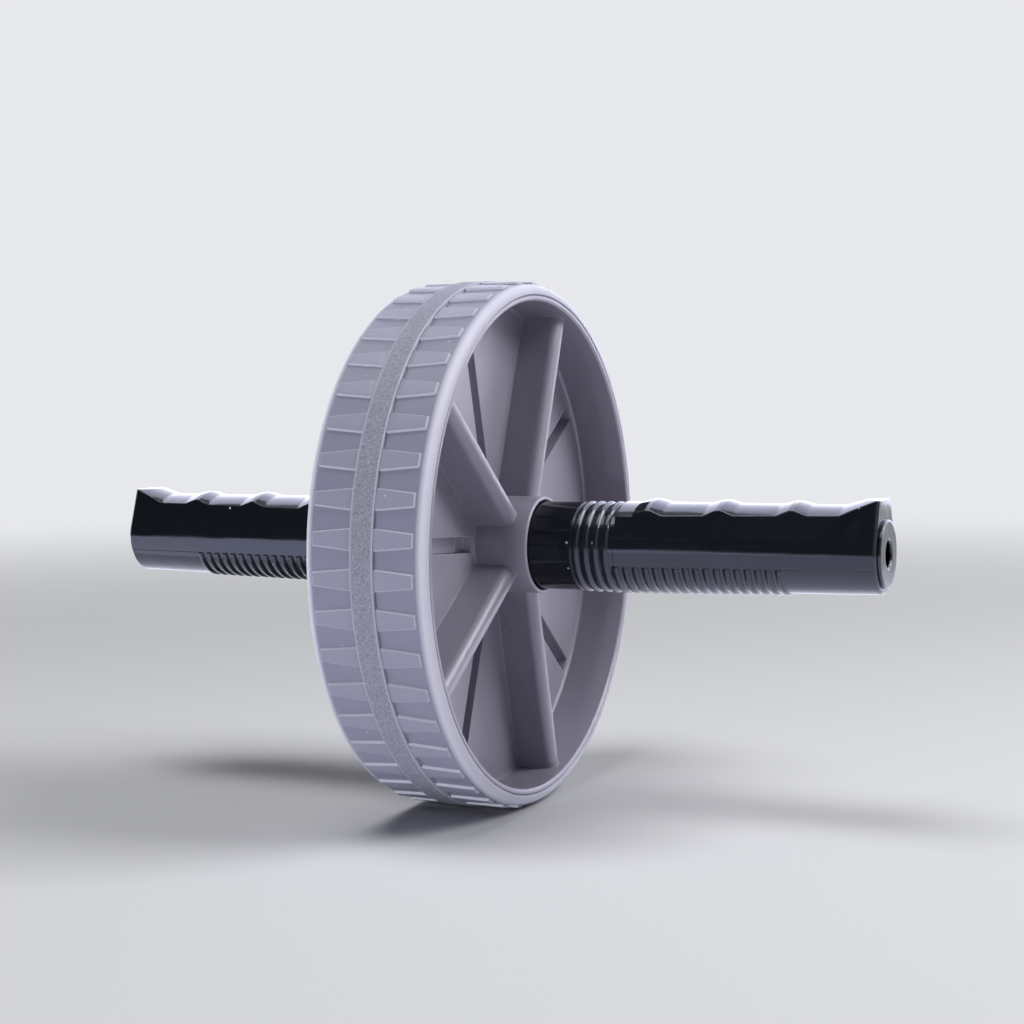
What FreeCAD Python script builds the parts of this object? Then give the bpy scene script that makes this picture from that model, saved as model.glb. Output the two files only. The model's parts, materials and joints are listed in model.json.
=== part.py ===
"""Ab wheel roller: one wide spoked wheel that turns on a steel axle between two moulded hand grips.

Frame: the origin is the wheel's centre, +X runs along the axle to the right grip, +Y is the way the
wheel rolls and +Z is up. Lengths are in millimetres and angles in degrees. Angles round the wheel
are counted from straight up towards +Y.
"""
import FreeCAD, Part
import math
import os

Vector = FreeCAD.Vector
origin = Vector(0, 0, 0)
axle_line = Vector(1, 0, 0)

# Tyre and tread
wheel_radius = 90.0
wheel_width = 42.0
band_width = 8.0
band_height = 1.4
band_root = 1.2
band_edge_radius = 0.4
lug_count = 45
lug_height = 1.0
lug_root_width = 7.2
lug_tip_width = 4.6
lug_reach = 17.5
lug_side_slope = 0.3
lug_embed = 0.6
lug_phase = 3.0
tyre_wall = 3.6
tyre_shoulder_radius = 3.2

# Wheel halves
rim_wall = 2.0
rim_edge_chamfer = 0.6
rim_root_radius = 1.2
web_thickness = 3.0
spoke_count = 5
spoke_thickness = 7.0
spoke_height = 14.3
spoke_phase = 21.0
slot_width = 5.6
slot_margin = 1.0
hub_wall = 1.25
hub_length = 22.5
hub_edge_chamfer = 0.4
hub_root_radius = 1.0
socket_length = 13.5

# Screws that join the wheel halves, driven from the left side through the webs and sunk flush
wheel_screw_circle_radius = 48.0
wheel_screw_angle = 18.0
wheel_screw_radius = 1.25
wheel_screw_head_radius = 2.2
wheel_screw_head_height = 1.7
wheel_screw_seat = 1.2
wheel_screw_tip = 2.4
wheel_screw_drive_width = 2.0
wheel_screw_drive_depth = 1.0

# Bearings and axle
axle_radius = 6.0
axle_flat_width = 9.6
axle_flat_length = 18.0
axle_end_gap = 0.4
bush_wall = 3.0
bush_flange_radius = 11.2
bush_flange_thickness = 1.5
thrust_washer_radius = 11.0
thrust_washer_thickness = 1.0

# Hand grips
collar_radius = 14.9
collar_edge_radius = 0.5
ring_count = 4
rib_count = 21
rib_pitch = 3.45
rib_width = 2.3
rib_height = 0.8
first_rib_lead = 0.6
first_ring = 39.4
ring_height = 0.4
ring_top_width = 0.9
ring_edge_radius = 0.65
ring_groove_depth = 0.4
grip_root_radius = 14.6
grip_end_radius = 13.0
grip_end = 139.6
grip_end_chamfer = 0.8
grip_side_lean = 18.0
parting_drop_angle = 22.0
dome_axis_drop = 3.0
groove_floor_height = 15.4
crest_height = 1.1
crest_first = 63.5
crest_pitch = 24.1
crest_count = 3
crest_top_width = 1.6
crest_ramp = 4.2
crest_top_radius = 0.6
crest_foot_radius = 3.0
guard_top = 17.3
guard_ramp = 11.5
guard_land = 0.9

# End plugs, axle screws and their washers
recess_radius = 9.5
recess_depth = 10.5
plug_radius = 11.0
plug_thickness = 1.2
plug_edge_radius = 0.6
plug_spigot_wall = 2.3
plug_spigot_length = 5.0
plug_hole_radius = 4.4
plug_hole_chamfer = 0.5
screw_washer_radius = 9.2
screw_washer_thickness = 1.6
axle_screw_radius = 3.0
axle_screw_length = 18.0
axle_screw_head_radius = 5.25
axle_screw_head_height = 3.3
axle_screw_head_edge = 1.4
axle_screw_key_width = 4.0
axle_screw_key_depth = 2.0
axle_tap_spare = 2.0

# Clearances
seat_gap = 0.05
running_gap = 0.05
hub_gap = 0.35
end_play = 0.1
past = 1.0

# Sizes that follow from those above
half_width = wheel_width / 2
tread_radius = wheel_radius - band_height
rim_radius = tread_radius - tyre_wall
rim_bore = rim_radius - rim_wall
hub_bore = collar_radius + hub_gap
hub_radius = hub_bore + hub_wall
bush_bore = axle_radius + running_gap
bush_radius = bush_bore + bush_wall
socket_bore = bush_radius + seat_gap
spoke_top = web_thickness + spoke_height
spoke_step = 360.0 / spoke_count
thrust_face = socket_length + bush_flange_thickness + end_play
grip_start = thrust_face + thrust_washer_thickness
grip_bore = axle_radius + seat_gap
grip_shoulder = grip_end - recess_depth
axle_half_length = grip_shoulder - axle_end_gap
flat_start = axle_half_length - axle_flat_length
grip_body_start = first_ring + ring_count * rib_pitch - first_rib_lead
washer_face = grip_shoulder + screw_washer_thickness
dome_radius = groove_floor_height + dome_axis_drop


def outline(corners):
    """Closed wire in the plane of the axle through corners (along, radius, corner rounding)."""
    points = [Vector(along, 0, radius) for along, radius, rounding in corners]
    stretches = []
    for place, (along, radius, rounding) in enumerate(corners):
        here = points[place]
        if rounding == 0:
            stretches.append((here, None, here))
            continue
        back = (points[place - 1] - here).normalize()
        ahead = (points[(place + 1) % len(points)] - here).normalize()
        half_angle = back.getAngle(ahead) / 2
        reach = rounding / math.tan(half_angle)
        inward = (back + ahead).normalize()
        middle = here + inward * (rounding / math.sin(half_angle) - rounding)
        stretches.append((here + back * reach, middle, here + ahead * reach))
    edges = []
    for place, (start, middle, end) in enumerate(stretches):
        if middle:
            edges.append(Part.Arc(start, middle, end).toShape())
        following = stretches[(place + 1) % len(stretches)][0]
        edges.append(Part.LineSegment(end, following).toShape())
    return Part.Wire(edges)


def turned(corners, sweep=360.0):
    """Solid of revolution about the axle."""
    return Part.Face(outline(corners)).revolve(origin, axle_line, sweep)


def tube(inner, outer, start, end):
    """Plain ring or sleeve along the axle, with no bore where inner is 0."""
    solid = Part.makeCylinder(outer, end - start, Vector(start, 0, 0), axle_line)
    if inner == 0:
        return solid
    return solid.cut(Part.makeCylinder(inner, end - start, Vector(start, 0, 0), axle_line))


def round_the_wheel(shape, angle):
    """Turns a shape that points straight up to its angle round the wheel."""
    copy = shape.copy()
    copy.rotate(origin, axle_line, -angle)
    return copy


def mirrored(shape):
    """The same piece on the left side."""
    return shape.mirror(origin, axle_line)


def hexagon_prism(across_flats, start, depth):
    """Hexagon socket along the axle."""
    corner = across_flats / math.sqrt(3)
    points = []
    for step in range(7):
        angle = math.radians(60 * step)
        points.append(Vector(start, corner * math.sin(angle), corner * math.cos(angle)))
    return Part.Face(Part.makePolygon(points)).extrude(Vector(depth, 0, 0))


def make_lug():
    """One tread block at the top of the wheel, right of the centre band."""
    near = band_width / 2 + seat_gap

    def block_outline(height, inset):
        root = lug_root_width / 2 - inset
        tip = lug_tip_width / 2 - inset
        reach = lug_reach - inset
        corners = [(near, -root), (reach, -tip), (reach, tip), (near, root)]
        points = [Vector(along, across, height) for along, across in corners]
        return Part.makePolygon(points + points[:1])

    foot = block_outline(tread_radius - lug_embed, 0)
    top = block_outline(tread_radius + lug_height, lug_side_slope)
    return Part.makeLoft([foot, top], True, True)


def make_tyre():
    """Grey tyre with a row of wedge-shaped lugs on each side of a groove for the centre band."""
    groove = band_width / 2 + seat_gap
    groove_floor = tread_radius - band_root
    tyre_bore = rim_radius + seat_gap
    body = turned([
        (-half_width, tyre_bore, 0), (-half_width, tread_radius, tyre_shoulder_radius),
        (-groove, tread_radius, 0), (-groove, groove_floor, 0),
        (groove, groove_floor, 0), (groove, tread_radius, 0),
        (half_width, tread_radius, tyre_shoulder_radius), (half_width, tyre_bore, 0),
    ])
    right_lug = make_lug()
    lugs = []
    for number in range(lug_count):
        angle = lug_phase + number * 360.0 / lug_count
        lugs.append(round_the_wheel(right_lug, angle))
        lugs.append(round_the_wheel(mirrored(right_lug), angle))
    return body.fuse(lugs)


def make_tread_band():
    """Raised grippy band that carries the load, seated in the tyre's groove."""
    root = tread_radius - band_root + seat_gap
    edge = band_width / 2
    return turned([
        (-edge, root, 0), (-edge, wheel_radius, band_edge_radius),
        (edge, wheel_radius, band_edge_radius), (edge, root, 0),
    ])


def make_spoke():
    """Blade from hub to rim with a full-round outer edge, pointing straight up."""
    half = spoke_thickness / 2
    straight = spoke_top - half
    start = (hub_bore + hub_radius) / 2
    end = (rim_bore + rim_radius) / 2
    edges = [
        Part.LineSegment(Vector(0, -half, start), Vector(straight, -half, start)).toShape(),
        Part.Arc(
            Vector(straight, -half, start), Vector(spoke_top, 0, start), Vector(straight, half, start)
        ).toShape(),
        Part.LineSegment(Vector(straight, half, start), Vector(0, half, start)).toShape(),
        Part.LineSegment(Vector(0, half, start), Vector(0, -half, start)).toShape(),
    ]
    return Part.Face(Part.Wire(edges)).extrude(Vector(0, 0, end - start))


def make_slot():
    """Cutter for the long slot through the web, midway between two spokes."""
    start = hub_radius + hub_root_radius + slot_margin
    end = rim_bore - rim_root_radius - slot_margin
    corner = Vector(-past, -slot_width / 2, start)
    return Part.makeBox(web_thickness + 2 * past, slot_width, end - start, corner)


def make_plain_half():
    """Right half of the wheel before its screw holes are made."""
    body = turned([
        (0, socket_bore, 0), (socket_length, socket_bore, 0),
        (socket_length, hub_bore, 0), (hub_length - hub_edge_chamfer, hub_bore, 0),
        (hub_length, hub_bore + hub_edge_chamfer, 0), (hub_length, hub_radius - hub_edge_chamfer, 0),
        (hub_length - hub_edge_chamfer, hub_radius, 0), (web_thickness, hub_radius, hub_root_radius),
        (web_thickness, rim_bore, rim_root_radius), (half_width - rim_edge_chamfer, rim_bore, 0),
        (half_width, rim_bore + rim_edge_chamfer, 0), (half_width, rim_radius - rim_edge_chamfer, 0),
        (half_width - rim_edge_chamfer, rim_radius, 0), (0, rim_radius, 0),
    ])
    spokes = []
    slots = []
    for number in range(spoke_count):
        angle = spoke_phase + number * spoke_step
        spokes.append(round_the_wheel(make_spoke(), angle))
        slots.append(round_the_wheel(make_slot(), angle + spoke_step / 2))
    return body.fuse(spokes).cut(slots)


def beside_every_spoke(shape):
    """Copies of a shape on the axle's line, moved out to the screw's place beside each spoke."""
    copies = []
    for number in range(spoke_count):
        raised = shape.copy()
        raised.translate(Vector(0, 0, wheel_screw_circle_radius))
        angle = spoke_phase + wheel_screw_angle + number * spoke_step
        copies.append(round_the_wheel(raised, angle))
    return copies


def make_wheel_halves():
    """Both halves, with blind pilot holes in the right and counterbored holes in the left."""
    plain = make_plain_half()
    hole_radius = wheel_screw_radius + seat_gap
    pilot = tube(0, hole_radius, -past, wheel_screw_tip + seat_gap)
    clearance = tube(0, hole_radius, -wheel_screw_seat - past, past)
    counterbore = tube(0, wheel_screw_head_radius + seat_gap, -web_thickness - past, -wheel_screw_seat)
    right = plain.cut(beside_every_spoke(pilot))
    left = mirrored(plain).cut(beside_every_spoke(clearance.fuse(counterbore)))
    return right, left


def make_wheel_screws():
    """The screws that hold the two halves together."""
    head_end = -wheel_screw_seat - wheel_screw_head_height
    shank = tube(0, wheel_screw_radius, -wheel_screw_seat, wheel_screw_tip)
    head = tube(0, wheel_screw_head_radius, head_end, -wheel_screw_seat)
    drive = hexagon_prism(wheel_screw_drive_width, head_end, wheel_screw_drive_depth)
    return Part.makeCompound(beside_every_spoke(head.fuse(shank).cut(drive)))


def make_hub_bush():
    """Flanged plain bearing in the wheel's socket."""
    sleeve = tube(bush_bore, bush_radius, 0, socket_length)
    flange_end = socket_length + bush_flange_thickness
    return sleeve.fuse(tube(bush_bore, bush_flange_radius, socket_length, flange_end))


def make_axle():
    """Steel rod with two flats and a tapped hole at each end."""
    rod = tube(0, axle_radius, -axle_half_length, axle_half_length)
    tap_end = axle_screw_length - screw_washer_thickness - axle_end_gap + axle_tap_spare
    waste_height = axle_radius - axle_flat_width / 2 + past
    cuts = []
    for side in (-1, 1):
        corner = Vector(flat_start, -axle_radius - past, axle_flat_width / 2)
        if side < 0:
            corner.z = -axle_flat_width / 2 - waste_height
        flat = Part.makeBox(axle_flat_length + past, 2 * (axle_radius + past), waste_height, corner)
        cuts += [flat, mirrored(flat)]
    tap = tube(0, axle_screw_radius + seat_gap, axle_half_length - tap_end, axle_half_length + past)
    return rod.cut(cuts + [tap, mirrored(tap)])


def make_axle_bore():
    """Cutter for the grip's bore: round on the axle's shank, flat-sided at its end."""
    round_part = tube(0, grip_bore, grip_start - past, flat_start)
    flat_part = tube(0, grip_bore, flat_start - past, grip_shoulder + past)
    width = axle_flat_width + 2 * seat_gap
    length = grip_shoulder + 2 * past - flat_start
    corner = Vector(flat_start - past, -grip_bore, -width / 2)
    return round_part.fuse(flat_part.common(Part.makeBox(length, 2 * grip_bore, width, corner)))


def grip_radius_at(along):
    """Radius of the tapered underside of the grip."""
    share = (along - grip_body_start) / (grip_end - grip_body_start)
    return grip_root_radius + share * (grip_end_radius - grip_root_radius)


def grip_half_width(radius, height):
    """Distance from the middle to the leaning side at a height above the round part."""
    lean = math.radians(grip_side_lean)
    return radius * math.cos(lean) - (height - radius * math.sin(lean)) * math.tan(lean)


def grip_section(along, radius):
    """Round below, with flat leaning sides that rise from the round part to the end guard's top."""
    lean = math.radians(grip_side_lean)
    side = radius * math.cos(lean)
    foot = radius * math.sin(lean)
    top = grip_half_width(radius, guard_top)
    points = [(-side, foot), (0, -radius), (side, foot), (top, guard_top), (-top, guard_top)]
    left_foot, bottom, right_foot, right_top, left_top = [Vector(along, y, z) for y, z in points]
    return Part.Wire([
        Part.Arc(left_foot, bottom, right_foot).toShape(),
        Part.LineSegment(right_foot, right_top).toShape(),
        Part.LineSegment(right_top, left_top).toShape(),
        Part.LineSegment(left_top, left_foot).toShape(),
    ])


def make_grip_top_limit():
    """Turned envelope of the grip's top: finger grooves, crests between them and the end guard."""
    crest_radius = dome_radius + crest_height
    guard_radius = math.hypot(grip_half_width(grip_end_radius, guard_top), guard_top + dome_axis_drop)
    guard_edge = grip_end - guard_land
    corners = [(grip_body_start, 0, 0), (grip_body_start, dome_radius, 0)]
    for number in range(crest_count):
        middle = crest_first + number * crest_pitch
        half_top = crest_top_width / 2
        corners += [
            (middle - half_top - crest_ramp, dome_radius, crest_foot_radius),
            (middle - half_top, crest_radius, crest_top_radius),
            (middle + half_top, crest_radius, crest_top_radius),
            (middle + half_top + crest_ramp, dome_radius, crest_foot_radius),
        ]
    corners += [
        (guard_edge - guard_ramp, dome_radius, crest_foot_radius),
        (guard_edge, guard_radius, 0),
        (grip_end, guard_radius, 0),
        (grip_end, 0, 0),
    ]
    limit = turned(corners)
    limit.translate(Vector(0, 0, -dome_axis_drop))
    return limit


def make_half_ribs():
    """Ribs across the underside of the grip, from parting line to parting line."""
    first = first_ring + ring_count * rib_pitch
    half = rib_width / 2
    edges = []
    rib_ends = []
    for number in range(rib_count - ring_count):
        middle = first + number * rib_pitch
        radius = grip_radius_at(middle)
        start = Vector(middle - half, 0, radius - seat_gap)
        end = Vector(middle + half, 0, radius - seat_gap)
        edges.append(Part.Arc(start, Vector(middle, 0, radius + rib_height), end).toShape())
        rib_ends += [start, end]
    for gap in range(1, len(rib_ends) - 1, 2):
        edges.append(Part.LineSegment(rib_ends[gap], rib_ends[gap + 1]).toShape())
    inner_end = Vector(rib_ends[-1].x, 0, rib_ends[-1].z - rib_height)
    inner_start = Vector(rib_ends[0].x, 0, rib_ends[0].z - rib_height)
    edges.append(Part.LineSegment(rib_ends[-1], inner_end).toShape())
    edges.append(Part.LineSegment(inner_end, inner_start).toShape())
    edges.append(Part.LineSegment(inner_start, rib_ends[0]).toShape())
    face = Part.Face(Part.Wire(Part.sortEdges(edges)[0]))
    face.rotate(origin, axle_line, 90 + parting_drop_angle)
    return face.revolve(origin, axle_line, 180 - 2 * parting_drop_angle)


def make_grip_neck():
    """Smooth collar that runs into the hub, then the full rings in shallow grooves."""
    groove = collar_radius - ring_groove_depth
    ring = collar_radius + ring_height
    half = rib_width / 2
    half_top = ring_top_width / 2
    shoulder = first_ring - rib_pitch / 2
    corners = [(grip_start, 0, 0), (grip_start, collar_radius, collar_edge_radius)]
    corners += [(shoulder, collar_radius, 0), (shoulder, groove, 0)]
    for number in range(ring_count):
        middle = first_ring + number * rib_pitch
        corners += [(middle - half, groove, 0), (middle - half_top, ring, ring_edge_radius)]
        corners += [(middle + half_top, ring, ring_edge_radius), (middle + half, groove, 0)]
    corners += [(grip_body_start + past, groove, 0), (grip_body_start + past, 0, 0)]
    return turned(corners)


def make_grip():
    """Right hand grip: collar, rings, grooved top with an end guard, ribbed underside and bore."""
    sections = [
        grip_section(grip_body_start, grip_root_radius),
        grip_section(grip_end - grip_end_chamfer, grip_end_radius),
        grip_section(grip_end, grip_end_radius - grip_end_chamfer),
    ]
    body = Part.makeLoft(sections, True, True).common(make_grip_top_limit())
    whole = body.fuse([make_grip_neck(), make_half_ribs()])
    recess = tube(0, recess_radius, grip_shoulder, grip_end + past)
    return whole.cut([make_axle_bore(), recess])


def make_end_plug():
    """Cap in the end of the grip, with a chamfered hole that lets a key reach the screw."""
    face = grip_end + plug_thickness
    spigot_radius = recess_radius - seat_gap
    spigot_bore = spigot_radius - plug_spigot_wall
    spigot_start = grip_end - plug_spigot_length
    return turned([
        (spigot_start, spigot_bore, 0), (spigot_start, spigot_radius, 0),
        (grip_end, spigot_radius, 0), (grip_end, plug_radius, 0),
        (face, plug_radius, plug_edge_radius), (face, plug_hole_radius + plug_hole_chamfer, 0),
        (face - plug_hole_chamfer, plug_hole_radius, 0),
        (grip_end, plug_hole_radius, 0), (grip_end, spigot_bore, 0),
    ])


def make_axle_screw():
    """Button-head screw that clamps the grip to the axle's end."""
    head_end = washer_face + axle_screw_head_height
    body = turned([
        (washer_face - axle_screw_length, 0, 0), (washer_face - axle_screw_length, axle_screw_radius, 0),
        (washer_face, axle_screw_radius, 0), (washer_face, axle_screw_head_radius, 0),
        (head_end, axle_screw_head_radius, axle_screw_head_edge), (head_end, 0, 0),
    ])
    return body.cut(hexagon_prism(axle_screw_key_width, head_end - axle_screw_key_depth, axle_screw_key_depth))


def export(name, shape):
    """Writes one piece and says how many solids it has and how large they are."""
    shape.exportStep("parts/" + name + ".step")
    print(name, len(shape.Solids), "solid(s)", round(shape.Volume), "mm3 valid", shape.isValid())


def export_pair(name, shape):
    """Writes the right piece and its mirror image."""
    export(name + "_right", shape)
    export(name + "_left", mirrored(shape))


os.makedirs("parts", exist_ok=True)
right_half, left_half = make_wheel_halves()
export("tyre", make_tyre())
export("tread_band", make_tread_band())
export("wheel_half_right", right_half)
export("wheel_half_left", left_half)
export("wheel_screws", make_wheel_screws())
export("axle", make_axle())
export_pair("hub_bush", make_hub_bush())
thrust_end = thrust_face + thrust_washer_thickness
export_pair("thrust_washer", tube(bush_bore, thrust_washer_radius, thrust_face, thrust_end))
export_pair("hand_grip", make_grip())
export_pair("end_plug", make_end_plug())
screw_hole = axle_screw_radius + seat_gap
export_pair("screw_washer", tube(screw_hole, screw_washer_radius, grip_shoulder, washer_face))
export_pair("axle_screw", make_axle_screw())
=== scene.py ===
# %% [markdown]
# # Dressing an ab wheel roller
# The solids of this roller come from a CAD model: a wide spoked wheel that turns on a steel rod between
# two hand grips. This lesson gives each piece the finish that it has in the hand. Pieces could be placed
# by eye, but the CAD model fixes every size and place already. So it is loaded first, and its box is kept
# for a check at the end.

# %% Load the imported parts
import json
import math

import bpy
from mathutils import Matrix, Vector, noise
from mathutils.bvhtree import BVHTree


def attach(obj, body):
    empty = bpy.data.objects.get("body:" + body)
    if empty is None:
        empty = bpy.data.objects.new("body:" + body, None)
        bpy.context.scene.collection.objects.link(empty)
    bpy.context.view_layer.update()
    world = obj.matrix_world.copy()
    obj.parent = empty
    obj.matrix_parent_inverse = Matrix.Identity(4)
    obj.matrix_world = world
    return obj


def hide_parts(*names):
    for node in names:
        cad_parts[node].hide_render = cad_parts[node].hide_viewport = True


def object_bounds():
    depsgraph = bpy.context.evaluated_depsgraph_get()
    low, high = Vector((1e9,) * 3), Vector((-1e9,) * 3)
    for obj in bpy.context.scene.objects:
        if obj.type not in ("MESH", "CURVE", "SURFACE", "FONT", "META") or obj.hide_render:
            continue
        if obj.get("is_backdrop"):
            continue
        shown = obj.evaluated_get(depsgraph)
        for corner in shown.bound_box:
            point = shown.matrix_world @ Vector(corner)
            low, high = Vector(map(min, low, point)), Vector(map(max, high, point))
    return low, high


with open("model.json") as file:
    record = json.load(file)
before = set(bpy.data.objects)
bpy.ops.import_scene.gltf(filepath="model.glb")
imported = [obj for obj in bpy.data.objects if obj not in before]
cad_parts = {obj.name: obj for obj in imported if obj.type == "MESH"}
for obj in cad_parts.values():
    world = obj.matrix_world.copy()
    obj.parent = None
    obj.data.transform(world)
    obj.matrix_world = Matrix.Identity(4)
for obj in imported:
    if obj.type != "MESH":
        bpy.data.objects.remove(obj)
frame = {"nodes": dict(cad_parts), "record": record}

scene = bpy.context.scene
parts = frame["nodes"]
cad_low, cad_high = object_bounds()
mm = 0.001
size = [round(side / mm, 1) for side in cad_high - cad_low]
print("pieces:", len(parts), "size in mm:", size)

# %% [markdown]
# ## Camera
# The picture was taken from a little above the axle and from the right of the wheel, with a short
# telephoto lens. A place, a point to aim at and a focal length are enough for that. The axle climbs
# slightly to the right in the picture, so the camera is turned by half a degree about its own line of
# sight.

# %% Place the camera
camera_place = Vector((284.5, -606.0, 53.05)) * mm
camera_aim = Vector((7.94, 4.66, 10.69)) * mm
camera_roll = math.radians(-0.5)

camera_data = bpy.data.cameras.new("camera")
camera_data.sensor_width = 36.0
camera_data.lens = 68.2
camera_data.clip_start = 0.01
camera = bpy.data.objects.new("camera", camera_data)
scene.collection.objects.link(camera)
turn = (camera_aim - camera_place).to_track_quat("-Z", "Y").to_matrix().to_4x4()
camera.matrix_world = Matrix.Translation(camera_place) @ turn @ Matrix.Rotation(camera_roll, 4, "Z")
scene.camera = camera
scene.view_settings.view_transform = "Standard"
print("camera is", round((camera_aim - camera_place).length, 3), "m from its aim")

# %% [markdown]
# ## Helpers for node trees
# Every finish below is a small network of nodes. Three helpers keep those networks short: one adds a node
# with its settings, one links two sockets, and one starts a node group with named sockets. A group is
# built once and then placed in each material that needs the effect.

# %% Node helpers
def add_node(tree, kind, **settings):
    """Adds a node. A setting named in_From_Min sets the input socket From Min, and in_1 sets input 1."""
    node = tree.nodes.new(kind)
    for key, value in settings.items():
        if key.startswith("in_"):
            socket = key[3:].replace("_", " ")
            node.inputs[int(socket) if socket.isdigit() else socket].default_value = value
        else:
            setattr(node, key, value)
    return node


def join(tree, source, target):
    """Links an output socket to an input socket."""
    tree.links.new(source, target)


def start_group(name, inputs, outputs):
    """New shader group. inputs are (name, kind, value) and outputs are (name, kind)."""
    group = bpy.data.node_groups.new(name, "ShaderNodeTree")
    for label, kind, value in inputs:
        socket = group.interface.new_socket(label, in_out="INPUT", socket_type=kind)
        socket.default_value = value
    for label, kind in outputs:
        group.interface.new_socket(label, in_out="OUTPUT", socket_type=kind)
    return group, add_node(group, "NodeGroupInput"), add_node(group, "NodeGroupOutput")


print("node helpers are ready")

# %% [markdown]
# ## Floor and surroundings
# The roller stands on a plain pale floor. A curved backdrop would hide the horizon, but it would also
# stand in the way of a camera behind it. So far from the roller the floor fades into the pale
# surroundings instead, and near it the floor is an ordinary matt surface that takes the shadow. The
# surroundings are pale for the camera, for reflections and for glass, and dimmer as a source of light.

# %% Floor material
pale = (0.80, 0.81, 0.84, 1.0)
floor_paint = (0.62, 0.625, 0.65, 1.0)
fade_start, fade_end = 0.25, 1.6

floor_material = bpy.data.materials.new("studio_floor")
floor_material.use_nodes = True
tree = floor_material.node_tree
tree.nodes.clear()
paint = add_node(tree, "ShaderNodeBsdfDiffuse", in_Color=floor_paint)
glow = add_node(tree, "ShaderNodeEmission", in_Color=pale, in_Strength=1.0)
place = add_node(tree, "ShaderNodeNewGeometry")
reach = add_node(tree, "ShaderNodeVectorMath", operation="LENGTH")
fade = add_node(tree, "ShaderNodeMapRange", interpolation_type="SMOOTHSTEP",
                in_From_Min=fade_start, in_From_Max=fade_end)
path = add_node(tree, "ShaderNodeLightPath")
seen = add_node(tree, "ShaderNodeMath", operation="MAXIMUM")
share = add_node(tree, "ShaderNodeMath", operation="MULTIPLY")
blend = add_node(tree, "ShaderNodeMixShader")
output = add_node(tree, "ShaderNodeOutputMaterial")
join(tree, place.outputs["Position"], reach.inputs[0])
join(tree, reach.outputs["Value"], fade.inputs["Value"])
join(tree, path.outputs["Is Camera Ray"], seen.inputs[0])
join(tree, path.outputs["Is Glossy Ray"], seen.inputs[1])
join(tree, fade.outputs["Result"], share.inputs[0])
join(tree, seen.outputs[0], share.inputs[1])
join(tree, share.outputs[0], blend.inputs[0])
join(tree, paint.outputs[0], blend.inputs[1])
join(tree, glow.outputs[0], blend.inputs[2])
join(tree, blend.outputs[0], output.inputs["Surface"])
print("floor fades from", fade_start, "to", fade_end, "m")

# %% Lay the floor
def flat_sheet(name, corners, material):
    """Four-cornered sheet with one material."""
    mesh = bpy.data.meshes.new(name)
    mesh.from_pydata(corners, [], [(0, 1, 2, 3)])
    mesh.materials.append(material)
    sheet = bpy.data.objects.new(name, mesh)
    scene.collection.objects.link(sheet)
    return sheet


floor_level = cad_low.z
edge = 30.0
floor_corners = [(x, y, floor_level) for x, y in ((-edge, -edge), (edge, -edge), (edge, edge), (-edge, edge))]
floor = flat_sheet("floor", floor_corners, floor_material)
floor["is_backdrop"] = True
print("floor at", round(floor_level / mm, 2), "mm")

# %% Pale surroundings
world_colour = (0.92, 0.94, 1.0, 1.0)
world_light = 0.06

world = bpy.data.worlds.new("surroundings")
scene.world = world
world.use_nodes = True
tree = world.node_tree
tree.nodes.clear()
shown = add_node(tree, "ShaderNodeBackground", in_Color=pale, in_Strength=1.0)
lit = add_node(tree, "ShaderNodeBackground", in_Color=world_colour, in_Strength=world_light)
path = add_node(tree, "ShaderNodeLightPath")
first = add_node(tree, "ShaderNodeMath", operation="MAXIMUM")
second = add_node(tree, "ShaderNodeMath", operation="MAXIMUM")
choice = add_node(tree, "ShaderNodeMixShader")
output = add_node(tree, "ShaderNodeOutputWorld")
join(tree, path.outputs["Is Camera Ray"], first.inputs[0])
join(tree, path.outputs["Is Glossy Ray"], first.inputs[1])
join(tree, first.outputs[0], second.inputs[0])
join(tree, path.outputs["Is Transmission Ray"], second.inputs[1])
join(tree, second.outputs[0], choice.inputs[0])
join(tree, lit.outputs[0], choice.inputs[1])
join(tree, shown.outputs[0], choice.inputs[2])
join(tree, choice.outputs[0], output.inputs["Surface"])
print("surroundings light the roller at", world_light)

# %% [markdown]
# ## Lamps and a dark cloth
# Three soft lamps light the roller: one overhead and in front, one on the right for the open side of the
# wheel, and a low one far in front for the underside of the tread. Black gloss shows whatever stands
# round it. Brighter lamps would show in it too, but they would bleach the grey. So panels on the floor
# and behind the roller are seen in reflections alone, and a dark cloth hangs behind the camera, as in a
# photographer's studio. The floor panels leave a gap on the left of the wheel, where its own shadow
# falls.

# %% Soft lamps
def soft_lamp(name, place, aim, width, height, watts, gloss=True, matt=True):
    """Rectangular lamp that the camera doesn't see. It can be kept out of gloss, or off matt surfaces."""
    data = bpy.data.lights.new(name, "AREA")
    data.shape = "RECTANGLE"
    data.size = width
    data.size_y = height
    data.energy = watts
    lamp = bpy.data.objects.new(name, data)
    scene.collection.objects.link(lamp)
    lamp.location = place
    lamp.rotation_mode = "QUATERNION"
    lamp.rotation_quaternion = (Vector(aim) - Vector(place)).to_track_quat("-Z", "Y")
    lamp.visible_camera = False
    lamp.visible_glossy = gloss
    lamp.visible_diffuse = matt
    print(name, "of", round(watts, 2), "W")
    return lamp


wheel_middle = (0, 0, 0)
soft_lamp("overhead_lamp", place=(-0.2, -0.32, 1.3), aim=wheel_middle, width=0.8, height=0.6, watts=11.8)
soft_lamp("right_lamp", place=(1.0, 0.3, 0.9), aim=wheel_middle, width=0.8, height=0.7, watts=16.0)
soft_lamp("low_lamp", place=(-0.2, -1.9, -0.06), aim=(0, 0, -0.03), width=0.7, height=0.055, watts=32.0,
          gloss=False)

# %% Panels that only gloss shows
panel_blue = (0.76, 0.77, 1.0)
panel_gap = 0.0005
back_panel = soft_lamp("back_panel", place=(0.0, 1.2, 0.75), aim=wheel_middle, width=3.4, height=2.0,
                       watts=62.0, matt=False)
back_panel.data.color = panel_blue


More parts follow.
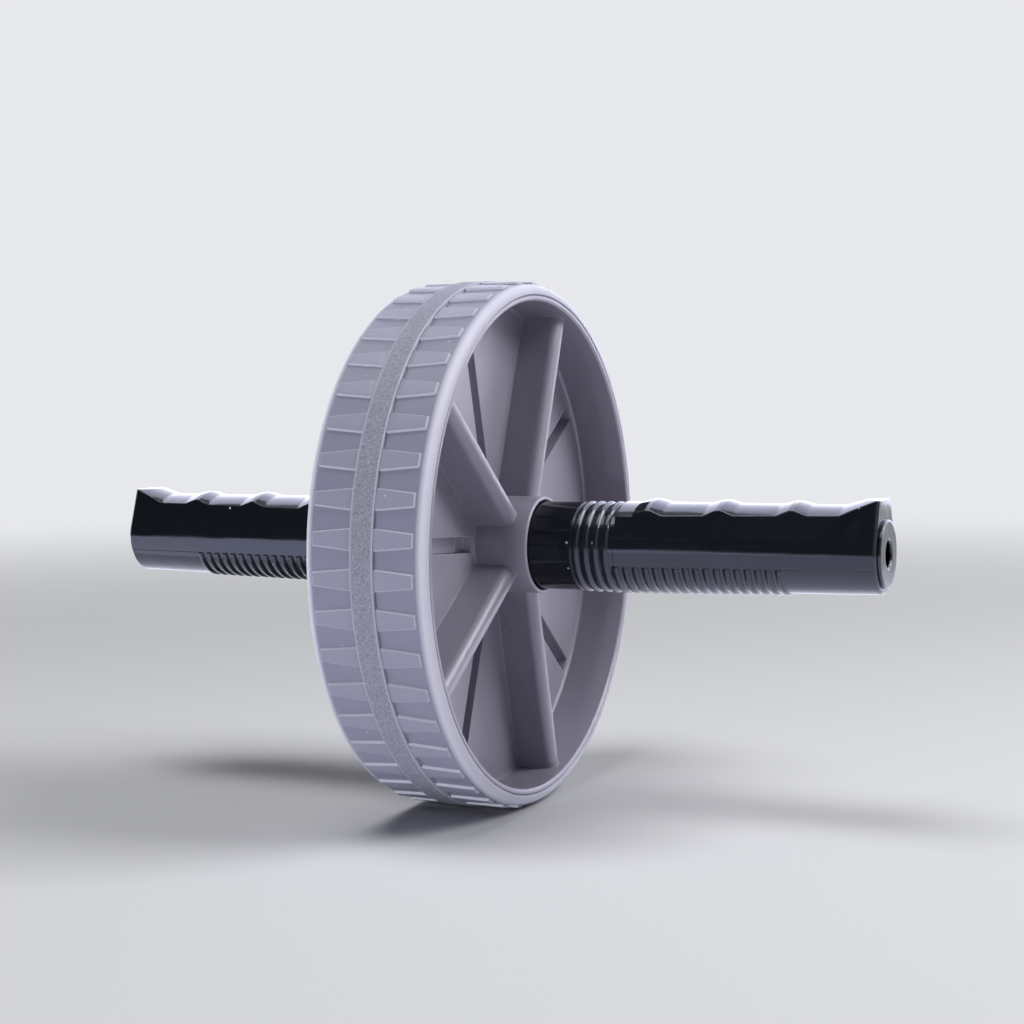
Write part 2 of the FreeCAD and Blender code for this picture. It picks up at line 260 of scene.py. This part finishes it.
def floor_panel(name, left, right, front, back, strength):
    """Panel on the floor that faces up, with edges in metres and strength in watts per square metre."""
    place = Vector(((left + right) / 2, (front + back) / 2, floor_level + panel_gap))
    width, depth = right - left, back - front
    panel = soft_lamp(name, place, place + Vector((0, 0, 1)), width, depth,
                      strength * width * depth, matt=False)
    panel.data.color = panel_blue


floor_panel("front_floor", left=-1.7, right=1.3, front=-1.6, back=-0.05, strength=3.8)
floor_panel("right_floor", left=0.02, right=1.3, front=-0.05, back=0.8, strength=4.2)
floor_panel("left_floor", left=-1.7, right=-0.125, front=-1.6, back=0.8, strength=4.2)

# %% Dark cloth behind the camera
# The cloth is a flat sheet. Its folds are painted on as darker and paler patches, painted shade and painted
# light that show in the gloss of the grips.
cloth_dark, painted_fold_light = (0.04, 0.055, 0.09, 1.0), (0.3, 0.32, 0.38, 1.0)
cloth_material = bpy.data.materials.new("dark_cloth")
cloth_material.use_nodes = True
tree = cloth_material.node_tree
cloth_shader = tree.nodes["Principled BSDF"]
cloth_shader.inputs["Roughness"].default_value = 0.9
where = add_node(tree, "ShaderNodeTexCoord")
painted_fold_shade = add_node(tree, "ShaderNodeTexNoise", in_Scale=7.0, in_Detail=3.0)
shades = add_node(tree, "ShaderNodeValToRGB")
for stop, position, colour in zip(shades.color_ramp.elements, (0.45, 0.75), (cloth_dark, painted_fold_light)):
    stop.position = position
    stop.color = colour
join(tree, where.outputs["Object"], painted_fold_shade.inputs["Vector"])
join(tree, painted_fold_shade.outputs["Fac"], shades.inputs["Fac"])
join(tree, shades.outputs["Color"], cloth_shader.inputs["Base Color"])

cloth_corners = [(-2.2, -1.5, 0.0), (1.2, -1.5, 0.0), (1.2, -1.1, 1.9), (-2.2, -1.1, 1.9)]
cloth = flat_sheet("dark_cloth", cloth_corners, cloth_material)
cloth.visible_camera = False
cloth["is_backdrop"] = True
print("dark cloth hangs", -cloth_corners[0][1], "m in front")

# %% [markdown]
# ## Tyre
# The tyre is a thick grey ring with 45 wedge-shaped blocks on each side of a groove. The CAD ring has
# sharp edges, but a moulded block has a small round along its top, which catches the light. The ring
# could get a bevel modifier, but a bevel makes poor corners where curved faces meet. Here the mesh is
# laid out as rings of points instead, with rows and columns that follow the edges of the blocks, so each
# round has its own points.

# %% Helpers for rings of points
def wheel_point(across, angle, radius):
    """Point of the wheel in metres: mm along the axle, degrees from the top towards +Y, mm from the axle."""
    turned = math.radians(angle)
    return Vector((across, radius * math.sin(turned), radius * math.cos(turned))) * mm


def ring_skin(name, rings, sharp_angle):
    """Closed mesh of rings that are joined each to the next, and the last to the first."""
    count, around = len(rings), len(rings[0])
    points = [point for ring in rings for point in ring]
    faces = []
    for row in range(count):
        above = (row + 1) % count
        for column in range(around):
            beside = (column + 1) % around
            faces.append((row * around + column, above * around + column,
                          above * around + beside, row * around + beside))
    mesh = bpy.data.meshes.new(name)
    mesh.from_pydata(points, [], faces)
    mesh.polygons.foreach_set("use_smooth", [True] * len(faces))
    mesh.set_sharp_from_angle(angle=math.radians(sharp_angle))
    piece = bpy.data.objects.new(name, mesh)
    scene.collection.objects.link(piece)
    print(name, "has", len(points), "points")
    return piece


# %% Shape of one tread block
block_count = 45
block_phase = 3.0
block_height = 1.0
block_root, block_tip = 7.2, 4.6
block_start, block_end = 4.05, 17.5
tread_radius = 88.6
gap_column, top_column = 0.45, 0.5
# The round along a block's top: mm inside its outline, and share of its height.
block_edge = [(0.66, 1.0), (0.5, 0.985), (0.38, 0.94), (0.29, 0.85),
              (0.15, 0.45), (0.04, 0.11), (-0.08, 0.02), (-0.26, 0.0)]


def half_block_width(across):
    """Half the width of a block, which narrows from the groove to the shoulder."""
    share = min(max((across - block_start) / (block_end - block_start), 0.0), 1.0)
    return (block_root + (block_tip - block_root) * share) / 2


def block_columns(across):
    """Places along the tread and their heights, from half a pitch before a block's middle to half after."""
    half = half_block_width(across)
    half_pitch = math.radians(180.0 / block_count) * tread_radius
    side = [(half_pitch - (half_pitch - half) * gap_column, 0.0)]
    side += [(half - inside, height) for inside, height in reversed(block_edge)]
    side += [(half * top_column, 1.0)]
    left = [(-place, height) for place, height in side]
    right = [(place, height) for place, height in reversed(side)]
    return [(-half_pitch, 0.0)] + left + [(0.0, 1.0)] + right


print("columns for each block:", len(block_columns(10.0)))

# %% Rows across the tyre
half_width = 21.0
tyre_bore = 85.05
groove_floor = 87.4
shoulder_radius, shoulder_steps = 3.2, 8
rim_chamfer = 0.12
bore_row = 14.0
land_rows = (6.5, 9.0, 11.5, 14.0, 16.0)
# The round beside the groove: mm away from it, mm below the tread, and share of the block's height.
groove_round = [(0.0, 0.2, 0.8), (0.05, 0.06, 0.94), (0.2, 0.0, 1.0)]

tyre_rows = [(0.0, groove_floor, 0.0), (block_start, groove_floor, 0.0)]
tyre_rows += [(block_start + out, tread_radius - down, share) for out, down, share in groove_round]
tyre_rows += [(across, tread_radius, 1.0) for across in land_rows]
tyre_rows += [(block_end - inside, tread_radius, height) for inside, height in block_edge]
for step in range(shoulder_steps + 1):
    lean = math.radians(90.0 - step * 90.0 / shoulder_steps)
    tyre_rows.append((half_width - shoulder_radius + shoulder_radius * math.cos(lean),
                      tread_radius - shoulder_radius + shoulder_radius * math.sin(lean), 0.0))
tyre_rows += [(half_width, tyre_bore + rim_chamfer, 0.0), (half_width - rim_chamfer, tyre_bore, 0.0),
              (bore_row, tyre_bore, 0.0)]
mirrored_rows = [(-across, radius, share) for across, radius, share in reversed(tyre_rows[1:])]
print("rows across the tyre:", len(mirrored_rows) + len(tyre_rows))

# %% Lay out the tyre
def tyre_ring(across, radius, share):
    """One ring of points round the tyre."""
    ring = []
    columns = block_columns(abs(across))
    for number in range(block_count):
        middle = block_phase + number * 360.0 / block_count
        for place, height in columns:
            angle = middle + math.degrees(place / tread_radius)
            ring.append(wheel_point(across, angle, radius + block_height * share * height))
    return ring


tyre = ring_skin("tyre_moulding", [tyre_ring(*row) for row in mirrored_rows + tyre_rows], sharp_angle=50.0)
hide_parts("tyre")
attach(tyre, "wheel")

# %% [markdown]
# ## Tread band
# The band in the middle of the tread carries the load, and its face is stippled to grip the floor. Bump
# alone would leave its outline smooth, so the stipple is in the mesh: fine rows across and many columns
# round the band, each point pushed in by noise. Points are only ever pushed inwards, so the wheel keeps
# its radius.

# %% Rows across the band
band_radius = 90.0
band_half_width = 4.0
band_root = 87.45
band_round, round_steps = 0.4, 4
band_wall = 0.6
top_rows, row_gap = 9, 0.36

band_rows = [(band_half_width, band_root), (band_half_width, band_radius - band_round - band_wall)]
for step in range(round_steps + 1):
    lean = math.radians(step * 90.0 / round_steps)
    band_rows.append((band_half_width - band_round + band_round * math.cos(lean),
                      band_radius - band_round + band_round * math.sin(lean)))
band_rows += [(row * row_gap, band_radius) for row in range(top_rows, 0, -1)]
left_rows = [(-across, radius) for across, radius in band_rows]
right_rows = [(0.0, band_radius)] + band_rows[::-1]
print("rows across the band:", len(left_rows) + len(right_rows))

# %% Lay out the stippled band
band_columns = 1800
stipple_depth = 0.34
stipple_size = 0.46
plain_margin, stipple_fade = 0.3, 0.5


def band_ring(across, radius):
    """One ring of points round the band, with the stipple on its top."""
    ring = []
    flat_share = min(max((band_half_width - plain_margin - abs(across)) / stipple_fade, 0.0), 1.0)
    for column in range(band_columns):
        angle = column * 360.0 / band_columns
        spot = wheel_point(across, angle, radius) / (stipple_size * mm)
        dip = stipple_depth * flat_share * (0.5 + 0.5 * noise.noise(spot))
        ring.append(wheel_point(across, angle, radius - dip))
    return ring


band = ring_skin("stippled_band", [band_ring(*row) for row in left_rows + right_rows], sharp_angle=60.0)
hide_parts("tread_band")
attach(band, "wheel")

# %% [markdown]
# ## Parting lines
# Each grip comes out of a mould with two halves, which meet along a line below the widest part. The ribs
# end at this line, and past the last rib it shows as a very fine bead. It could be drawn with bump, but a
# bead of its own catches the light from every side. It has to lie on the surface of the grip, so each of
# its points is found by a ray that is cast from outside towards the axle.

# %% Find a parting line
parting_angle = math.radians(22.0)
bead_start, bead_end, bead_radius = 110.0, 138.4, 0.14
bead_steps = 24
ray_start = 40.0


def parting_line(grip, sign, lean):
    """Points along a parting line of a grip. sign is its side of the wheel, and lean is -1 for its front."""
    surface = BVHTree.FromObject(grip, bpy.context.evaluated_depsgraph_get())
    to_grip = grip.matrix_world.inverted()
    outward = Vector((0.0, lean * math.cos(parting_angle), -math.sin(parting_angle)))
    line = []
    for step in range(bead_steps + 1):
        along = sign * (bead_start + (bead_end - bead_start) * step / bead_steps) * mm
        start = to_grip @ (Vector((along, 0.0, 0.0)) + outward * ray_start * mm)
        hit = surface.ray_cast(start, to_grip.to_3x3() @ -outward)[0]
        line.append(grip.matrix_world @ hit)
    return line


print("each bead is", round(bead_end - bead_start, 1), "mm long")

# %% Lay a bead along each parting line
beads = []
for side, sign in (("right", 1.0), ("left", -1.0)):
    for face, lean in (("front", -1.0), ("back", 1.0)):
        line = parting_line(parts["hand_grip_" + side], sign, lean)
        curve = bpy.data.curves.new("parting_bead", "CURVE")
        curve.dimensions = "3D"
        # The bead's size is in its points, because a curve's box counts their radius and not the bevel's.
        curve.bevel_depth = 1.0
        curve.bevel_resolution = 2
        curve.use_fill_caps = True
        spline = curve.splines.new("POLY")
        spline.points.add(len(line) - 1)
        for point, spot in zip(spline.points, line):
            point.co = (*spot, 1.0)
            point.radius = bead_radius * mm
        bead = bpy.data.objects.new(f"parting_bead_{side}_{face}", curve)
        scene.collection.objects.link(bead)
        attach(bead, "handle_bar")
        beads.append(bead)
print("beads:", [bead.name for bead in beads])

# %% [markdown]
# ## Shared finishes
# Moulded plastic, rubber and metal share a few effects: a fine grain, rounded edges that catch the light,
# dust and the marks of hands. Each effect is one node group. A group takes its place on the piece from
# the object's own coordinates, in metres, so a finish has the same scale on every piece and turns with
# the wheel.

# %% Group: fine grain of a moulded surface
grain_group, grain_in, grain_out = start_group(
    "moulded_grain",
    [("Scale", "NodeSocketFloat", 2200.0), ("Mottle Scale", "NodeSocketFloat", 60.0)],
    [("Height", "NodeSocketFloat"), ("Mottle", "NodeSocketFloat")])
where = add_node(grain_group, "ShaderNodeTexCoord")
fine = add_node(grain_group, "ShaderNodeTexNoise", in_Detail=3.0, in_Roughness=0.6)
pits = add_node(grain_group, "ShaderNodeTexVoronoi", feature="SMOOTH_F1")
mottle = add_node(grain_group, "ShaderNodeTexNoise", in_Detail=4.0, in_Roughness=0.55)
both = add_node(grain_group, "ShaderNodeMath", operation="MULTIPLY_ADD", in_1=0.5)
for texture, scale in ((fine, "Scale"), (pits, "Scale"), (mottle, "Mottle Scale")):
    join(grain_group, where.outputs["Object"], texture.inputs["Vector"])
    join(grain_group, grain_in.outputs[scale], texture.inputs["Scale"])
join(grain_group, pits.outputs["Distance"], both.inputs[0])
join(grain_group, fine.outputs["Fac"], both.inputs[2])
join(grain_group, both.outputs[0], grain_out.inputs["Height"])
join(grain_group, mottle.outputs["Fac"], grain_out.inputs["Mottle"])
print("group:", grain_group.name)

# %% Group: edges that catch the light
edge_group, edge_in, edge_out = start_group(
    "edge_catch",
    [("Radius", "NodeSocketFloat", 0.0004)],
    [("Edge", "NodeSocketFloat"), ("Normal", "NodeSocketVector")])
rounded = add_node(edge_group, "ShaderNodeBevel", samples=4)
facing = add_node(edge_group, "ShaderNodeNewGeometry")
agree = add_node(edge_group, "ShaderNodeVectorMath", operation="DOT_PRODUCT")
mask = add_node(edge_group, "ShaderNodeMapRange", clamp=True, in_From_Min=0.995, in_From_Max=0.85)
join(edge_group, edge_in.outputs["Radius"], rounded.inputs["Radius"])
join(edge_group, rounded.outputs["Normal"], agree.inputs[0])
join(edge_group, facing.outputs["Normal"], agree.inputs[1])
join(edge_group, agree.outputs["Value"], mask.inputs["Value"])
join(edge_group, mask.outputs["Result"], edge_out.inputs["Edge"])
join(edge_group, rounded.outputs["Normal"], edge_out.inputs["Normal"])
print("group:", edge_group.name)

# %% Group: specks of dust
dust_group, dust_in, dust_out = start_group(
    "dust_specks",
    [("Scale", "NodeSocketFloat", 350.0), ("Amount", "NodeSocketFloat", 0.06)],
    [("Speck", "NodeSocketFloat")])
where = add_node(dust_group, "ShaderNodeTexCoord")
cells = add_node(dust_group, "ShaderNodeTexVoronoi", feature="F1")
split = add_node(dust_group, "ShaderNodeSeparateColor")
chosen = add_node(dust_group, "ShaderNodeMath", operation="LESS_THAN")
dot = add_node(dust_group, "ShaderNodeMapRange", clamp=True, in_From_Min=0.16, in_From_Max=0.08)
speck = add_node(dust_group, "ShaderNodeMath", operation="MULTIPLY")
join(dust_group, where.outputs["Object"], cells.inputs["Vector"])
join(dust_group, dust_in.outputs["Scale"], cells.inputs["Scale"])
join(dust_group, cells.outputs["Color"], split.inputs["Color"])
join(dust_group, split.outputs[0], chosen.inputs[0])
join(dust_group, dust_in.outputs["Amount"], chosen.inputs[1])
join(dust_group, cells.outputs["Distance"], dot.inputs["Value"])
join(dust_group, dot.outputs["Result"], speck.inputs[0])
join(dust_group, chosen.outputs[0], speck.inputs[1])
join(dust_group, speck.outputs[0], dust_out.inputs["Speck"])
print("group:", dust_group.name)

# %% Group: marks of handling
touch_group, touch_in, touch_out = start_group(
    "handling_marks",
    [("Scale", "NodeSocketFloat", 45.0)],
    [("Haze", "NodeSocketFloat"), ("Waves", "NodeSocketFloat")])
where = add_node(touch_group, "ShaderNodeTexCoord")
smear = add_node(touch_group, "ShaderNodeTexNoise", in_Detail=5.0, in_Roughness=0.62, in_Distortion=0.8)
limit = add_node(touch_group, "ShaderNodeMapRange", clamp=True, interpolation_type="SMOOTHSTEP",
                 in_From_Min=0.42, in_From_Max=0.72)
waves = add_node(touch_group, "ShaderNodeTexNoise", in_Scale=110.0, in_Detail=1.0, in_Roughness=0.4)
join(touch_group, where.outputs["Object"], smear.inputs["Vector"])
join(touch_group, touch_in.outputs["Scale"], smear.inputs["Scale"])
join(touch_group, smear.outputs["Fac"], limit.inputs["Value"])
join(touch_group, limit.outputs["Result"], touch_out.inputs["Haze"])
join(touch_group, where.outputs["Object"], waves.inputs["Vector"])
join(touch_group, waves.outputs["Fac"], touch_out.inputs["Waves"])
print("group:", touch_group.name)

# %% Helpers that start a material
def start_material(name, **constants):
    """New material with its shader. A constant named Base_Color sets the socket Base Color."""
    material = bpy.data.materials.new(name)
    material.use_nodes = True
    shader = material.node_tree.nodes["Principled BSDF"]
    for key, value in constants.items():
        shader.inputs[key.replace("_", " ")].default_value = value
    return material, material.node_tree, shader


def place_group(tree, group, **values):
    """Places a node group. A value named Mottle_Scale sets the socket Mottle Scale."""
    node = add_node(tree, "ShaderNodeGroup", node_tree=group)
    for key, value in values.items():
        node.inputs[key.replace("_", " ")].default_value = value
    return node


print("materials can be started")

# %% Helpers that combine masks, colours and bumps
def spread(tree, source, low, high):
    """Maps a mask from 0 to 1 onto a range of values."""
    node = add_node(tree, "ShaderNodeMapRange", clamp=True, in_To_Min=low, in_To_Max=high)
    join(tree, source, node.inputs["Value"])
    return node.outputs["Result"]


def mix_colours(tree, share, first, second):
    """Mixes two colours by a mask. Each colour is a tuple or a socket."""
    node = add_node(tree, "ShaderNodeMix", data_type="RGBA")
    for socket, colour in ((node.inputs[6], first), (node.inputs[7], second)):
        if isinstance(colour, tuple):
            socket.default_value = (*colour, 1.0)
        else:
            join(tree, colour, socket)
    join(tree, share, node.inputs[0])
    return node.outputs[2]


def sum_of(tree, first, second):
    """Adds two sockets."""
    node = add_node(tree, "ShaderNodeMath", operation="ADD")
    join(tree, first, node.inputs[0])
    join(tree, second, node.inputs[1])
    return node.outputs[0]


def raise_bump(tree, height, depth, normal=None):
    """Bump node of a depth in metres."""
    node = add_node(tree, "ShaderNodeBump", in_Strength=1.0, in_Distance=depth)
    join(tree, height, node.inputs["Height"])
    if normal:
        join(tree, normal, node.inputs["Normal"])
    return node.outputs["Normal"]


print("masks, colours and bumps can be combined")

# %% [markdown]
# ## Grey mouldings
# The wheel halves are satin grey plastic with a cool, slightly violet cast, the tyre is a softer moulding
# with a darker tread, and the band is darker and duller still. One function makes all three, because they
# differ only in their values. Edges are painted a touch paler, as a painted highlight where light catches
# them.
# The tread also has painted light and shade: block tops, block edges and shoulders are painted paler than
# the floor between the blocks, which stays darker as painted shade. Those could be painted on, but on a
# round wheel the distance from the axle, or across the wheel, finds them exactly.

# %% Group: how far a point lies out on the wheel
reach_group, reach_in, reach_out = start_group(
    "reach_mask",
    [("Start", "NodeSocketFloat", 0.0), ("End", "NodeSocketFloat", 0.1)],
    [("Away", "NodeSocketFloat"), ("Across", "NodeSocketFloat")])
where = add_node(reach_group, "ShaderNodeTexCoord")
flat = add_node(reach_group, "ShaderNodeVectorMath", operation="MULTIPLY", in_1=(0.0, 1.0, 1.0))
away = add_node(reach_group, "ShaderNodeVectorMath", operation="LENGTH")
axes = add_node(reach_group, "ShaderNodeSeparateXYZ")
across = add_node(reach_group, "ShaderNodeMath", operation="ABSOLUTE")
join(reach_group, where.outputs["Object"], flat.inputs[0])
join(reach_group, flat.outputs[0], away.inputs[0])
join(reach_group, where.outputs["Object"], axes.inputs[0])
join(reach_group, axes.outputs["X"], across.inputs[0])
for measure, name in ((away.outputs["Value"], "Away"), (across.outputs[0], "Across")):
    mask = add_node(reach_group, "ShaderNodeMapRange", clamp=True)
    join(reach_group, measure, mask.inputs["Value"])
    join(reach_group, reach_in.outputs["Start"], mask.inputs["From Min"])
    join(reach_group, reach_in.outputs["End"], mask.inputs["From Max"])
    join(reach_group, mask.outputs["Result"], reach_out.inputs[name])
print("group:", reach_group.name)

# %% Grey plastic and rubber
# The first value is how much of the painted highlight colour the edges take.
edge_highlight_share, speck_share, haze_rise = 0.7, 0.5, 0.12
grey_speck = (0.55, 0.55, 0.58)


def grey_moulding(name, low, high, edge_highlight_colour, rough, grain_scale, grain_depth, edge_radius, layers=()):
    """Satin grey moulding that varies between two colours. Each layer is (output of reach_mask, start and end
    in mm, colour)."""
    material, tree, shader = start_material(name)
    grain = place_group(tree, grain_group, Scale=grain_scale, Mottle_Scale=55.0)
    catch = place_group(tree, edge_group, Radius=edge_radius)
    dust = place_group(tree, dust_group, Scale=420.0, Amount=0.03)
    touch = place_group(tree, touch_group, Scale=30.0)
    body = mix_colours(tree, grain.outputs["Mottle"], low, high)
    for measure, start, end, colour in layers:
        mask = place_group(tree, reach_group, Start=start * mm, End=end * mm)
        body = mix_colours(tree, mask.outputs[measure], body, colour)
    # Edges get a painted highlight: a paler colour where light would catch them.
    edged = mix_colours(tree, spread(tree, catch.outputs["Edge"], 0.0, edge_highlight_share), body, edge_highlight_colour)
    dusted = mix_colours(tree, spread(tree, dust.outputs["Speck"], 0.0, speck_share), edged, grey_speck)
    join(tree, dusted, shader.inputs["Base Color"])
    join(tree, spread(tree, touch.outputs["Haze"], rough, rough + haze_rise), shader.inputs["Roughness"])
    join(tree, raise_bump(tree, grain.outputs["Height"], grain_depth, catch.outputs["Normal"]),
         shader.inputs["Normal"])
    print("material:", name)
    return material


# %% Finish of the wheel halves
wheel_grey = grey_moulding("wheel_plastic", low=(0.245, 0.23, 0.292), high=(0.275, 0.258, 0.325),
                           edge_highlight_colour=(0.52, 0.505, 0.59), rough=0.32,
                           grain_scale=2600.0, grain_depth=0.00004, edge_radius=0.0005)

# %% Finish of the tyre and the band
# Paler colour painted on edges of the tyre and the band as a painted highlight.
edge_highlight_tone = (0.41, 0.405, 0.48)
# Painted light and shade on the tread: the shoulder and the block edges get a painted highlight, and the
# block tops are painted paler than the floor between the blocks.
painted_shoulder_highlight = (0.42, 0.415, 0.495)
painted_block_edge_highlight = (0.32, 0.318, 0.395)
painted_block_top_light = (0.163, 0.164, 0.221)
# The raised tops of the stipple are painted paler than its pits: painted light on the tops and painted shade
# in the pits.
painted_stipple_light = (0.2, 0.201, 0.255)
tyre_layers = [("Across", 17.7, 19.6, painted_shoulder_highlight),
               ("Away", tread_radius + 0.06, tread_radius + 0.3, painted_block_edge_highlight),
               ("Away", tread_radius + 0.93, tread_radius + 0.985, painted_block_top_light)]
band_layers = [("Away", band_radius - stipple_depth * 0.75, band_radius - stipple_depth * 0.25, painted_stipple_light),
               ("Across", band_half_width - 0.3, band_half_width - 0.05, edge_highlight_tone)]

# The base colour below is the floor between the blocks, kept darker than the block tops as painted shade.
tyre_grey = grey_moulding("tyre_rubber", low=(0.122, 0.125, 0.175), high=(0.14, 0.143, 0.198),
                          edge_highlight_colour=edge_highlight_tone, rough=0.5,
                          grain_scale=2000.0, grain_depth=0.00006, edge_radius=0.0003, layers=tyre_layers)
band_grey = grey_moulding("band_rubber", low=(0.095, 0.096, 0.126), high=(0.112, 0.113, 0.148),
                          edge_highlight_colour=edge_highlight_tone, rough=0.6,
                          grain_scale=2600.0, grain_depth=0.00009, edge_radius=0.0003, layers=band_layers)

# %% [markdown]
# ## Black gloss
# The grips are hard black plastic from a polished mould. Real gloss is never a perfect mirror: the
# surface has slow waves from shrinking, a haze where it was held, and a few specks of dust. A plain low
# roughness would look like glass. The waves and the haze make the reflections look right, and both come
# from the handling group.

# %% Grips and plugs
wave_depth, polish_depth = 0.00018, 0.000002
gloss_tint = (0.8, 0.86, 1.0, 1.0)
gloss_speck = (0.5, 0.5, 0.53)


def black_gloss(name, colour, rough, haze, speck_amount):
    """Polished black plastic."""
    material, tree, shader = start_material(name, IOR=1.5, Specular_Tint=gloss_tint)
    catch = place_group(tree, edge_group, Radius=0.0006)
    dust = place_group(tree, dust_group, Scale=330.0, Amount=speck_amount)
    touch = place_group(tree, touch_group, Scale=38.0)
    grain = place_group(tree, grain_group, Scale=5200.0, Mottle_Scale=90.0)
    tint = mix_colours(tree, grain.outputs["Mottle"], colour, tuple(1.5 * channel for channel in colour))
    dusted = mix_colours(tree, spread(tree, dust.outputs["Speck"], 0.0, 0.75), tint, gloss_speck)
    join(tree, dusted, shader.inputs["Base Color"])
    hazy = spread(tree, touch.outputs["Haze"], rough, rough + haze)
    join(tree, sum_of(tree, hazy, spread(tree, dust.outputs["Speck"], 0.0, 0.5)), shader.inputs["Roughness"])
    smooth = raise_bump(tree, touch.outputs["Waves"], wave_depth, catch.outputs["Normal"])
    join(tree, raise_bump(tree, grain.outputs["Height"], polish_depth, smooth), shader.inputs["Normal"])
    print("material:", name)
    return material


grip_black = black_gloss("grip_gloss", (0.0028, 0.0033, 0.0046), rough=0.07, haze=0.09, speck_amount=0.04)
plug_black = black_gloss("plug_gloss", (0.004, 0.0045, 0.006), rough=0.1, haze=0.1, speck_amount=0.03)

# %% [markdown]
# ## Metal and bearings
# The rod, washers and screws are turned steel, with fine rings left by the tool. Noise alone would look
# cast. The rings run round the axle, so their texture is read from the distance along the axle and from
# the axle. The bushes are white acetal, a slippery plastic with a faint waxy surface.

# %% Group: rings of a turned surface
lathe_group, lathe_in, lathe_out = start_group(
    "turned_rings",
    [("Scale", "NodeSocketFloat", 6000.0)],
    [("Height", "NodeSocketFloat"), ("Tone", "NodeSocketFloat")])
where = add_node(lathe_group, "ShaderNodeTexCoord")
axes = add_node(lathe_group, "ShaderNodeSeparateXYZ")
sideways = add_node(lathe_group, "ShaderNodeCombineXYZ")
away = add_node(lathe_group, "ShaderNodeVectorMath", operation="LENGTH")
flat = add_node(lathe_group, "ShaderNodeCombineXYZ")
rings = add_node(lathe_group, "ShaderNodeTexNoise", in_Detail=2.0)
tone = add_node(lathe_group, "ShaderNodeTexNoise", in_Scale=220.0, in_Detail=3.0)
join(lathe_group, where.outputs["Object"], axes.inputs[0])
join(lathe_group, axes.outputs["Y"], sideways.inputs["Y"])
join(lathe_group, axes.outputs["Z"], sideways.inputs["Z"])
join(lathe_group, sideways.outputs[0], away.inputs[0])
join(lathe_group, axes.outputs["X"], flat.inputs["X"])
join(lathe_group, away.outputs["Value"], flat.inputs["Y"])
join(lathe_group, flat.outputs[0], rings.inputs["Vector"])
join(lathe_group, lathe_in.outputs["Scale"], rings.inputs["Scale"])
join(lathe_group, where.outputs["Object"], tone.inputs["Vector"])
join(lathe_group, rings.outputs["Fac"], lathe_out.inputs["Height"])
join(lathe_group, tone.outputs["Fac"], lathe_out.inputs["Tone"])
print("group:", lathe_group.name)

# %% Steel and dark screws
ring_depth = 0.000006


def turned_metal(name, low, high, worn, rough):
    """Turned metal with rings, a mottled coating and worn edges."""
    material, tree, shader = start_material(name, Metallic=1.0)
    lathe = place_group(tree, lathe_group, Scale=7000.0)
    catch = place_group(tree, edge_group, Radius=0.0003)
    coat = mix_colours(tree, lathe.outputs["Tone"], low, high)
    join(tree, mix_colours(tree, catch.outputs["Edge"], coat, worn), shader.inputs["Base Color"])
    join(tree, spread(tree, lathe.outputs["Height"], rough - 0.08, rough + 0.1), shader.inputs["Roughness"])
    join(tree, raise_bump(tree, lathe.outputs["Height"], ring_depth, catch.outputs["Normal"]),
         shader.inputs["Normal"])
    print("material:", name)
    return material


bright_steel = turned_metal("turned_steel", low=(0.48, 0.48, 0.49), high=(0.60, 0.60, 0.60),
                            worn=(0.72, 0.72, 0.72), rough=0.3)
dark_steel = turned_metal("blackened_screw", low=(0.05, 0.05, 0.055), high=(0.085, 0.083, 0.085),
                          worn=(0.34, 0.33, 0.32), rough=0.42)

# %% White bushes
acetal_low, acetal_high = (0.70, 0.69, 0.64), (0.80, 0.79, 0.75)
acetal_depth = 0.00002
bush_white, tree, shader = start_material("white_acetal")
grain = place_group(tree, grain_group, Scale=3000.0, Mottle_Scale=120.0)
touch = place_group(tree, touch_group, Scale=60.0)
join(tree, mix_colours(tree, grain.outputs["Mottle"], acetal_low, acetal_high), shader.inputs["Base Color"])
join(tree, spread(tree, touch.outputs["Haze"], 0.32, 0.46), shader.inputs["Roughness"])
join(tree, raise_bump(tree, grain.outputs["Height"], acetal_depth), shader.inputs["Normal"])
print("material:", bush_white.name)

# %% [markdown]
# ## Put the finishes on
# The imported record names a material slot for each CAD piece. A finish could be set piece by piece, but
# one table from slot to finish serves all of them, and a piece that is added later gets its finish by its
# slot.

# %% Give each piece its finish
finish_of_slot = {"wheel": wheel_grey, "tyre": tyre_grey, "tread_band": band_grey, "grip": grip_black,
                  "plug": plug_black, "bush": bush_white, "steel": bright_steel, "screw": dark_steel}
slot_of_part = {row["node"]: row["material_slot"] for row in frame["record"]["subparts"]}
for name, part in parts.items():
    part.material_slots[0].material = finish_of_slot[slot_of_part[name]]
tyre.data.materials.append(tyre_grey)
band.data.materials.append(band_grey)
for bead in beads:
    bead.data.materials.append(grip_black)
print("finishes in use:", sorted(set(slot_of_part.values())))

# %% [markdown]
# ## Check and finish
# The dressed roller has to fill the same box as the CAD model. The last line prints how far the box of
# the dressed roller grows past the CAD box.

# %% Compare the boxes and finish
new_low, new_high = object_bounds()
growth = max(max(new_high - cad_high), max(cad_low - new_low))
print("largest growth of the box in mm:", round(growth / mm, 3))
